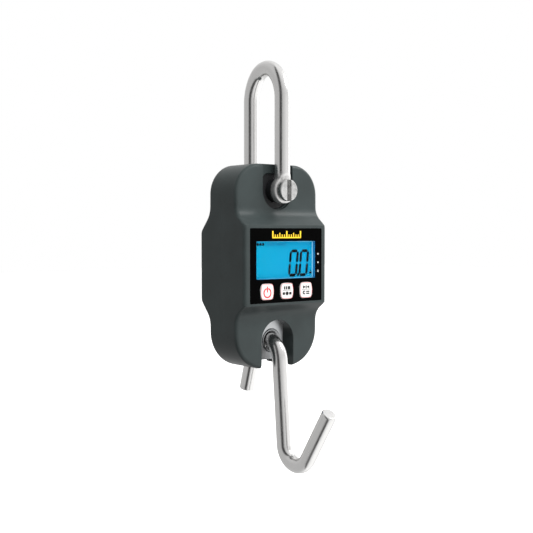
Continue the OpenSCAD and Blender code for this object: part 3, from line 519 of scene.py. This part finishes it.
def bowHalf(b):
    # rows of half the bow, from the foot of an eye to the top: the shoulder and crown are arcs that meet
    # where both lean by the crown's half angle; h is the height over the pin
    spread = math.radians(b["crownHalf"])
    shoulder = (b["leg"] - b["crown"] * math.sin(spread)) / (1 - math.sin(spread))
    crownZ = b["rod"] - b["crown"]
    shoulderZ = crownZ - (shoulder - b["crown"]) * math.cos(spread)
    inset = (shoulder - b["crown"]) * math.sin(spread)
    top = shoulderZ - b["pin"]
    h = np.concatenate([-b["eye"] * np.cos(np.linspace(0, 0.5, 26) * math.pi), np.linspace(0.3, 14, 54),
                        np.linspace(15, top, 26)])
    ease = smoothRamp(h, b["neckFrom"], b["neckFrom"] + b["neckTall"])
    disc = np.sqrt(np.clip(b["eye"] ** 2 - h ** 2, 0, None))
    # the eye's disc and the bar join in a small fillet: log of the sum of exponentials
    blend = np.log(np.exp(b["fillet"] * disc) + np.exp(b["fillet"] * b["rod"])) / b["fillet"]
    wide = np.where((h > 3) & (h < 12), blend, np.where(h < 3, disc, b["rod"]))
    thick = b["eyeHalf"] + (b["rod"] - b["eyeHalf"]) * ease
    thick = thick * np.where(h < 0, (1 - np.clip(np.abs(h) / b["eye"], 0, 1) ** 9) ** 0.25, 1)
    rounder = smoothRamp(h, b["powerFrom"], b["neckFrom"] + b["neckTall"])
    power = b["eyePower"] + (b["barPower"] - b["eyePower"]) * rounder
    leg = np.stack([b["eyeAt"] + (b["leg"] - b["eyeAt"]) * ease, b["pin"] + h, np.full(len(h), 90.0),
                    wide, thick, power], -1)
    bar = (b["rod"], b["rod"], b["barPower"])
    bend = 90 - b["crownHalf"]
    return np.concatenate([leg, arcRows((-inset, shoulderZ), shoulder, 0, bend, 26, bar)[1:],
                           arcRows((0, crownZ), b["crown"], bend, b["crownHalf"], 22, bar)[1:]])


half = bowHalf(bow)
back = half[-2::-1].copy()  # the same rows mirrored in Y
back[:, 0] *= -1
back[:, 2] = 360 - back[:, 2]
bowPath = np.concatenate([half, back])
buildPiece("shackleBow", [bentBar(bowPath)], "stainlessForgedEye", "shackle", ["shackle_bow"],
           unrolled=(travel(bowPath), 2 * math.pi * bow["rod"]))


# Hook: tail, curl through the load cell's bush, shank, bowl and open arm, with softened ends
hook = {"rod": 5.0, "curlAt": (0.3, -185.3), "curl": 14.0, "shankLean": 4.7, "tailLean": 16.5,
        "tail": 27.0, "shank": 54.2, "bowl": 12.4, "armLean": 32.3, "arm": 37.7, "soften": 1.1}


def direction(lean):
    # unit vector in Y-Z that leans by so many degrees from straight up, towards -Y
    return np.array([-math.sin(math.radians(lean)), math.cos(math.radians(lean))])


def straightRows(start, lean, lengths, heading, bar):
    # points at the given lengths from the start along a leaning line
    y, z = (np.array(start)[:, None] + direction(lean)[:, None] * lengths[None, :])
    return np.stack([y, z, np.full(len(lengths), heading)] + [np.full(len(lengths), v) for v in bar], -1)


def softEnd(rows, soften, rod, atStart):
    # the bar's end: its radius follows a quarter circle of the softened edge, then closes to a point
    phi = np.radians(np.linspace(90, 0, 7))
    radii = np.concatenate([[0.0, (rod - soften) * 0.6], rod - soften + soften * np.cos(phi)])
    depth = np.concatenate([[0.0, 0.0], soften * (1 - np.sin(phi))])
    tip = rows[0] if atStart else rows[-1]
    sense = 1 if atStart else -1
    a = math.radians(tip[2])
    end = np.repeat(tip[None, :], len(radii), 0)
    end[:, 0] += sense * depth * math.cos(a)
    end[:, 1] += sense * depth * math.sin(a)
    end[:, 3], end[:, 4] = radii, radii
    return np.concatenate([end, rows[1:]]) if atStart else np.concatenate([rows[:-1], end[::-1]])


def hookPath(k):
    # straights that lean, and arcs that touch them: each arc's centre lies one radius square to its straight
    bar = (k["rod"], k["rod"], 2.0)
    shankAngle, tailAngle, armAngle = (math.radians(k[n]) for n in ("shankLean", "tailLean", "armLean"))
    curlAt = np.array(k["curlAt"])
    tailTop = curlAt + k["curl"] * np.array([math.cos(tailAngle), math.sin(tailAngle)])
    shankTop = curlAt + k["curl"] * np.array([-math.cos(shankAngle), math.sin(shankAngle)])
    shankEnd = shankTop - k["shank"] * np.array([math.sin(shankAngle), math.cos(shankAngle)])
    bowlAt = shankEnd + k["bowl"] * np.array([-math.cos(shankAngle), math.sin(shankAngle)])
    armStart = bowlAt + k["bowl"] * np.array([-math.cos(armAngle), -math.sin(armAngle)])
    rows = np.concatenate([
        straightRows(tailTop, k["tailLean"], -np.linspace(k["tail"], 0, 24), 90 + k["tailLean"], bar),
        arcRows(curlAt, k["curl"], k["tailLean"], 180 - k["tailLean"] - k["shankLean"], 56, bar)[1:],
        straightRows(shankTop, -k["shankLean"], -np.linspace(0, k["shank"], 44)[1:],
                     270 - k["shankLean"], bar),
        arcRows(bowlAt, k["bowl"], -k["shankLean"], k["shankLean"] + k["armLean"] - 180, 46, bar)[1:],
        straightRows(armStart, k["armLean"], np.linspace(0, k["arm"], 34)[1:], 90 + k["armLean"], bar)])
    rows = softEnd(rows, k["soften"], k["rod"], True)
    return softEnd(rows, k["soften"], k["rod"], False)


hookRows = hookPath(hook)
buildPiece("loadHook", [bentBar(hookRows)], "stainlessBelted", "hook", ["s_hook"],
           unrolled=(travel(hookRows), 2 * math.pi * hook["rod"]))
print("bow and hook bent")


def revolved(profile, x, z, count=72):
    # rings of (radius, y) turned about an axis along Y
    t = np.linspace(0, 2 * math.pi, count, endpoint=False)[None, :]
    radius, y = np.array(profile, float).T[:, :, None]
    return np.stack([x + radius * np.cos(t), y + 0 * t, z + radius * np.sin(t)], -1)


def slottedHead(x, z, radius, faceY, backY, slotWide, slotDeep, edge):
    # sections across X of a round head: the face drops by a quarter circle at the rim and by the slot's depth
    # inside the slot; outward is from backY to faceY
    sign = 1 if backY > faceY else -1
    w, r = slotWide / 2, min(0.3, slotWide / 5)
    outer = w + r + (radius - w - r) * np.sin(np.linspace(0, math.pi / 2, 26))[1:]
    curve = np.linspace(0, math.pi / 2, 5)
    xs = np.concatenate([[0, w * 0.5, w], w + r * (1 - np.cos(curve)), outer])
    drops = np.concatenate([[slotDeep] * 3, r * (1 - np.sin(curve)), 0 * outer])
    xs = np.concatenate([-xs[:0:-1], xs])
    drops = np.concatenate([drops[:0:-1], drops])
    chord = np.sqrt(np.clip(radius ** 2 - xs ** 2, 0, None))[:, None]
    share = np.sin(np.linspace(-math.pi / 2, math.pi / 2, 41))[None, :]
    across = chord * share
    rim = np.clip(np.hypot(xs[:, None], across) - (radius - edge), 0, edge)
    rimDrop = edge - np.sqrt(np.clip(edge ** 2 - rim ** 2, 0, None))
    topY = faceY + sign * np.maximum(drops[:, None], rimDrop)
    backZ = chord * np.array([1.0, 0.5, 0.0, -0.5, -1.0])[None, :]
    ringX = np.repeat(xs[:, None], share.shape[1] + 5, 1)
    ringZ = np.concatenate([across, backZ], 1)
    ringY = np.concatenate([topY, np.full_like(backZ, backY)], 1)
    return np.stack([x + ringX, ringY, z + ringZ], -1)


# Cross pin: slotted head in front, bevelled end in the rear eye
crossPin = {"shaft": 4.5, "head": 7.0, "headTall": 4.0, "slot": 3.3, "slotDeep": 2.7, "edge": 0.7}
pinLow, pinHigh = spot("shackle_pin")
headBack = pinLow[1] + crossPin["headTall"]
shaft, tip = crossPin["shaft"], pinHigh[1]
pinShaft = revolved([(0, headBack - 0.5), (shaft - 0.1, headBack - 0.5), (shaft, headBack),
                     (shaft, tip - 0.6), (shaft - 0.2, tip - 0.25), (shaft - 0.6, tip), (2.0, tip),
                     (0, tip)], 0, pinAxis[2])
pinHead = slottedHead(0, pinAxis[2], crossPin["head"], pinLow[1], headBack, crossPin["slot"],
                      crossPin["slotDeep"], crossPin["edge"])
buildPiece("crossPin", [pinShaft, pinHead], "steelTurned", "shackle", ["shackle_pin"], sharp=32)
print("cross pin turned")


# Keys: a cap with gently bowed sides, a flange behind the panel and a stem on the switch
key = {"wide": 10.5, "tall": 10.1, "corner": 2.7, "bow": 12.0, "edge": 0.16, "cap": 2.55,
       "flange": 0.5, "flangeThick": 0.8, "stem": 1.6, "points": 96}


def keyOutline(angles, wide, tall, corner, bowed):
    # radius of the outline along each ray, found by halving: the outline is a rounded rectangle cut by four
    # wide arcs, of which those at the top and bottom bow a quarter as much
    low, high = np.zeros_like(angles), np.full_like(angles, wide)
    c, s = np.cos(angles), np.sin(angles)
    for step in range(36):
        r = (low + high) / 2
        px, pz = np.abs(r * c), np.abs(r * s)
        qx, qz = px - (wide / 2 - corner), pz - (tall / 2 - corner)
        beyond = np.hypot(np.clip(qx, 0, None), np.clip(qz, 0, None))
        box = beyond + np.minimum(np.maximum(qx, qz), 0) - corner
        sides = np.hypot(px + bowed - wide / 2, pz) - bowed
        ends = np.hypot(px, pz + 4 * bowed - tall / 2) - 4 * bowed
        outside = np.maximum(box, np.maximum(sides, ends)) > 0
        low, high = np.where(outside, low, r), np.where(outside, r, high)
    return (low + high) / 2


def keyCap(node, k):
    # rings of the outline, scaled or inset, from the middle of the face over a quarter round edge, down the
    # cap, out to the flange and in to the stem
    low, high = spot(node)
    at = middle(node)
    t = np.linspace(0, 2 * math.pi, k["points"], endpoint=False)
    outline = keyOutline(t, k["wide"], k["tall"], k["corner"], k["bow"])
    face, neck = low[1], low[1] + k["cap"]
    back = neck + k["flangeThick"]
    phi = np.radians(np.linspace(90, 0, 6))
    edge = k["edge"]
    rows = [(0.0, None, face), (0.55, None, face)]
    rows += [(1.0, edge * (1 - math.cos(p)), face + edge * (1 - math.sin(p))) for p in phi]
    rows += [(1.0, 0.0, neck), (1.0, -k["flange"], neck), (1.0, -k["flange"], back)]
    rings = [outline * s if inset is None else outline - inset for s, inset, y in rows]
    rings += [np.full_like(t, k["stem"]), np.full_like(t, k["stem"]), 0 * t]
    ys = [y for s, inset, y in rows] + [back, high[1], high[1]]
    return np.stack([np.stack([at[0] + r * np.cos(t), np.full_like(t, y), at[2] + r * np.sin(t)], -1)
                     for r, y in zip(rings, ys)])


for node in ("key_power", "key_hold", "key_tare"):
    buildPiece(node + "_cap", [keyCap(node, key)], "siliconeWhite", node + "_body", [node])


# Printed and switched marks: thin solid strokes on a face that looks towards -Y

def stroke(path, widths, faceY, deep, closedPath=False):
    # a rectangular section along a path in X-Z: half its width to each side of the path's mean normal
    path = np.array(path, float)
    if closedPath:
        along = np.roll(path, -1, 0) - np.roll(path, 1, 0)
    else:
        along = np.gradient(path, axis=0)
    along /= np.linalg.norm(along, axis=1)[:, None]
    normal = np.stack([-along[:, 1], along[:, 0]], -1)
    reach = normal * (np.broadcast_to(widths, len(path)) / 2)[:, None]
    left, right = path + reach, path - reach
    corners = [(left, faceY), (right, faceY), (right, faceY + deep), (left, faceY + deep)]
    return np.stack([np.stack([p[:, 0], np.full(len(path), y), p[:, 1]], -1) for p, y in corners], 1)


def circlePath(x, z, radius, start=0, sweep=360, count=40):
    # points of an arc in X-Z, in degrees from +X towards +Z
    t = np.radians(start + sweep * np.linspace(0, 1, count, endpoint=abs(sweep) < 360))
    return np.stack([x + radius * np.cos(t), z + radius * np.sin(t)], -1)


def disc(x, z, radius, faceY, deep):
    # a stroke across a circle whose width is the chord
    t = np.cos(np.linspace(math.pi, 0, 15))
    return stroke(np.stack([x + radius * t, z + 0 * t], -1), 2 * radius * np.sqrt(1 - t ** 2), faceY, deep)


def dash(x, z, length, width, faceY, deep, upright=False):
    # a straight stroke through its own middle, level or upright
    dx, dz = (0, length / 2) if upright else (length / 2, 0)
    return stroke([(x - dx, z - dz), (x + dx, z + dz)], [width, width], faceY, deep)


ink = {"deep": 0.05, "lift": 0.02}
panelInk = spot("front_panel")[0][1] - ink["lift"]

# A yellow rule of graduation ticks above the display, in place of lettering
rule = {"ticks": 13, "pitch": 1.92, "foot": -104.8, "short": 2.0, "mid": 3.0, "long": 4.2, "line": 0.7,
        "longLine": 1.05, "footLine": 0.8}
ticks = []
for n in range(rule["ticks"]):
    tall = rule["long"] if n % 6 == 0 else rule["mid"] if n % 3 == 0 else rule["short"]
    line = rule["longLine"] if n % 6 == 0 else rule["line"]
    ticks.append(dash((n - (rule["ticks"] - 1) / 2) * rule["pitch"], rule["foot"] + tall / 2, tall,
                      line, panelInk, ink["deep"], upright=True))
ticks.append(dash(0, rule["foot"], (rule["ticks"] - 1) * rule["pitch"] + rule["longLine"],
                  rule["footLine"], panelInk, ink["deep"]))
buildPiece("graduationRule", ticks, "inkYellow", "housing")

# Three small white marks right of the display: a disc, a diamond and a pair of bars
side = {"x": 26.8, "upper": -115.6, "middle": -121.1, "lower": -126.8, "disc": 0.6, "diamond": 0.7,
        "bar": 1.5, "line": 0.4, "point": 0.05}
sideParts = [disc(side["x"], side["upper"], side["disc"], panelInk, ink["deep"])]
sideParts.append(stroke([(side["x"] + s * side["diamond"], side["middle"]) for s in (-1, 0, 1)],
                        [side["point"], 2 * side["diamond"], side["point"]], panelInk, ink["deep"]))
sideParts += [dash(side["x"] + s * side["line"], side["lower"], side["bar"], side["line"], panelInk,
                   ink["deep"], upright=True) for s in (-1, 1)]
buildPiece("sideMarks", sideParts, "inkWhite", "housing")

# Symbols on the keys: an open ring with a stem on the first, and plain shapes above and below a thin rule on
# the others. Heights are from the key's middle
marks = {"ring": 2.8, "ringDrop": 0.7, "opening": 28, "stem": 3.8, "stemAt": 1.5, "line": 0.95,
         "upper": 2.0, "ruleAt": 0.45, "ruleWide": 7.6, "rule": 0.28, "lower": -1.6}


def keyFace(node):
    # a key's middle in X and Z, and the Y at which its ink starts
    at = middle(node)
    return at[0], at[2], spot(node)[0][1] - ink["lift"]


x, z, y = keyFace("key_power")
ring = circlePath(x, z - marks["ringDrop"], marks["ring"], 90 + marks["opening"] / 2,
                  360 - marks["opening"], 44)
buildPiece("powerSymbol", [stroke(ring, marks["line"], y, ink["deep"]),
                           dash(x, z + marks["stemAt"], marks["stem"], marks["line"], y, ink["deep"],
                                upright=True)],
           "inkRed", "key_power_body")
x, z, y = keyFace("key_hold")
top, ruleZ, bottom = z + marks["upper"], z + marks["ruleAt"], z + marks["lower"]
holdRows = [dash(x + dx, top, 2.0, 1.1, y, ink["deep"], upright=True) for dx in (-2.1, -0.5)]
holdRows += [dash(x + 1.6, top, 2.0, 2.0, y, ink["deep"]),
             dash(x, ruleZ, marks["ruleWide"], marks["rule"], y, ink["deep"]),
             disc(x, bottom, 1.25, y, ink["deep"])]
holdRows += [dash(x + s * 2.7, bottom, 2.0, 1.7, y, ink["deep"]) for s in (-1, 1)]
buildPiece("holdSymbols", holdRows, "inkBlack", "key_hold_body")
x, z, y = keyFace("key_tare")
top, ruleZ, bottom = z + marks["upper"], z + marks["ruleAt"], z + marks["lower"]
tareRows = [stroke([(x + s * 2.7, top), (x + s * 0.7, top)], [2.1, 0.4], y, ink["deep"]) for s in (-1, 1)]
tareRows += [dash(x, top, 2.1, 0.8, y, ink["deep"], upright=True),
             dash(x, ruleZ, marks["ruleWide"], marks["rule"], y, ink["deep"]),
             stroke(circlePath(x - 1.7, bottom, 0.85, 40, 280, 20), 0.9, y, ink["deep"])]
tareRows += [dash(x + 1.4, z + dz, 2.8, 0.85, y, ink["deep"]) for dz in (-1.0, -2.3)]
buildPiece("tareSymbols", tareRows, "inkBlack", "key_tare_body")
border = {"inset": 0.12, "line": 0.22}
for node in ("key_power", "key_hold", "key_tare"):
    x, z, y = keyFace(node)
    t = np.linspace(0, 2 * math.pi, key["points"], endpoint=False)
    r = keyOutline(t, key["wide"], key["tall"], key["corner"], key["bow"]) - key["edge"] - border["inset"]
    path = np.stack([x + r * np.cos(t), z + r * np.sin(t)], -1)
    buildPiece(node + "_outline", [stroke(path, border["line"], y, ink["deep"], True)], "inkRed",
               node + "_body", closedPath=True)


# Liquid crystal segments on the glass: two leaning digits, a point, small state marks, and two rows of faint
# bars that are switched off
digit = {"tall": 15.6, "wide": 5.9, "bar": 2.0, "gap": 0.15, "tip": 0.05, "lean": 6.1, "middle": -121.3,
         "at": (8.1, 16.9), "point": (11.95, -129.0), "pointRadius": 0.95}
state = {"dots": (-21.4, -19.2, -17.0), "dotsZ": -109.1, "dotRadius": 0.9, "unit": (22.7, -127.9)}
bars = {"stretches": ((-13.4, -8.0), (-6.0, 2.2)), "z": -109.3, "pitch": 1.25, "tall": 1.9, "line": 0.55}
film = {"lift": 0.03, "deep": 0.03, "faintDeep": 0.02}
glassY = spot("lcd_glass")[0][1] - film["lift"]


def leaning(block, z0):
    # shears a block sideways by the tangent of the lean times its height over z0
    block = block.copy()
    block[..., 0] += math.tan(math.radians(digit["lean"])) * (block[..., 2] - z0)
    return block


def segment(ax, az, bx, bz, width):
    # a bar with pointed ends between two points
    a, b = np.array([ax, az]), np.array([bx, bz])
    u = (b - a) / np.linalg.norm(b - a)
    a, b = a + u * digit["gap"], b - u * digit["gap"]
    return stroke([a, a + u * width / 2, b - u * width / 2, b],
                  [digit["tip"], width, width, digit["tip"]], glassY, film["deep"])


def digitSegments(x, lit):
    # the seven places of a digit, lettered clockwise from the top with g across the middle
    h, w, z = digit["tall"] / 2, digit["wide"] / 2, digit["middle"]
    spots = {"a": (x - w, z + h, x + w, z + h), "b": (x + w, z + h, x + w, z), "c": (x + w, z, x + w, z - h),
             "d": (x - w, z - h, x + w, z - h), "e": (x - w, z, x - w, z - h), "f": (x - w, z + h, x - w, z),
             "g": (x - w, z, x + w, z)}
    return [leaning(segment(*spots[s], digit["bar"]), z) for s in lit]


litParts = [block for x in digit["at"] for block in digitSegments(x, "abcdef")]
litParts.append(disc(*digit["point"], digit["pointRadius"], glassY, film["deep"]))
litParts += [disc(x, state["dotsZ"], state["dotRadius"], glassY, film["deep"]) for x in state["dots"]]
unitX, unitZ = state["unit"]
litParts.append(stroke([(unitX - 1, unitZ), (unitX + 1, unitZ)], [1.2, 1.2], glassY, film["deep"]))
litParts.append(stroke([(unitX, unitZ + 0.6), (unitX, unitZ + 1.9)], [0.5, 0.5], glassY, film["deep"]))
buildPiece("litSegments", litParts, "segmentDark", "housing")
faint = [dash(x, bars["z"], bars["tall"], bars["line"], glassY, film["faintDeep"], upright=True)
         for start, end in bars["stretches"] for x in np.arange(start, end, bars["pitch"])]
buildPiece("faintSegments", faint, "segmentFaint", "housing")


def roundedPath(halfWide, halfTall, corner, midX, midZ, steps=6):
    # a closed rounded rectangle in X-Z: four quarter circles, whose ends the straight sides join
    parts = []
    for sx, sz, start in ((1, 1, 0), (-1, 1, 90), (-1, -1, 180), (1, -1, 270)):
        parts.append(circlePath(midX + sx * (halfWide - corner), midZ + sz * (halfTall - corner), corner,
                                start, 90, steps))
    return np.concatenate(parts)


# Lining of the display opening, with a painted glow that stands for the light of the glass falling on it, and
# a painted highlight where it meets the glass: a pale band, wide along the right side and narrow elsewhere
liner = {"thick": 0.12, "corner": 0.6, "inset": 0.08, "gap": 0.02}
paintedGlint = {"wide": 0.7, "narrow": 0.15, "inset": 0.3, "wideFrom": 0.45, "deep": 0.05}
windowLow, windowHigh = spot("display_window")
windowMid = middle("display_window")
hw, hh = (windowHigh[0] - windowLow[0]) / 2, (windowHigh[2] - windowLow[2]) / 2
linerPath = roundedPath(hw - liner["inset"], hh - liner["inset"], liner["corner"], windowMid[0], windowMid[2])
linerDeep = glassY - windowHigh[1] - 2 * liner["gap"]
buildPiece("displayLiner", [stroke(linerPath, liner["thick"], windowHigh[1] + liner["gap"], linerDeep, True)],
           "linerPaintedGlow", "housing", closedPath=True, sharp=60)
# painted highlight round the glass, wide along the right side and narrow elsewhere
paintedGlintPath = roundedPath(hw - paintedGlint["inset"], hh - paintedGlint["inset"], liner["corner"], windowMid[0], windowMid[2])
onRight = paintedGlintPath[:, 0] > windowMid[0] + hw - paintedGlint["wideFrom"]
paintedGlintWide = np.where(onRight, paintedGlint["wide"], paintedGlint["narrow"])
buildPiece("displayPaintedGlint", [stroke(paintedGlintPath, paintedGlintWide, glassY - paintedGlint["deep"], paintedGlint["deep"], True)],
           "paintedHighlightGlow", "housing", closedPath=True, sharp=60)
print("panel, keys and display marked")


# Moulded parts: a merged copy of the CAD form whose edges sharper than an angle in degrees get a narrow bevel
edges = {"shell": 0.3, "door": 0.15, "segments": 2, "angle": 34}


def rounded(node, name, width):
    mesh = nodes[node].data.copy()
    mesh.name = name
    soup = bmesh.new()
    soup.from_mesh(mesh)
    bmesh.ops.remove_doubles(soup, verts=soup.verts, dist=0.001 * mm)
    bmesh.ops.dissolve_limit(soup, angle_limit=math.radians(0.6), verts=soup.verts, edges=soup.edges)
    soup.to_mesh(mesh)
    soup.free()
    mesh.shade_smooth()
    mesh.set_sharp_from_angle(angle=math.radians(edges["angle"]))
    piece = bpy.data.objects.new(name, mesh)
    bpy.context.scene.collection.objects.link(piece)
    bevel = piece.modifiers.new("edges", "BEVEL")
    bevel.limit_method, bevel.angle_limit = "ANGLE", math.radians(edges["angle"])
    bevel.width, bevel.segments, bevel.use_clamp_overlap = width * mm, edges["segments"], True
    piece.modifiers.new("normals", "WEIGHTED_NORMAL").keep_sharp = True
    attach(piece, frame["nodes"][node]["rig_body"])
    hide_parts(node)
    return piece


rounded("front_shell", "frontShell", edges["shell"])
rounded("rear_shell", "rearShell", edges["shell"])
rounded("battery_door", "batteryDoor", edges["door"])
print("moulded parts rounded")
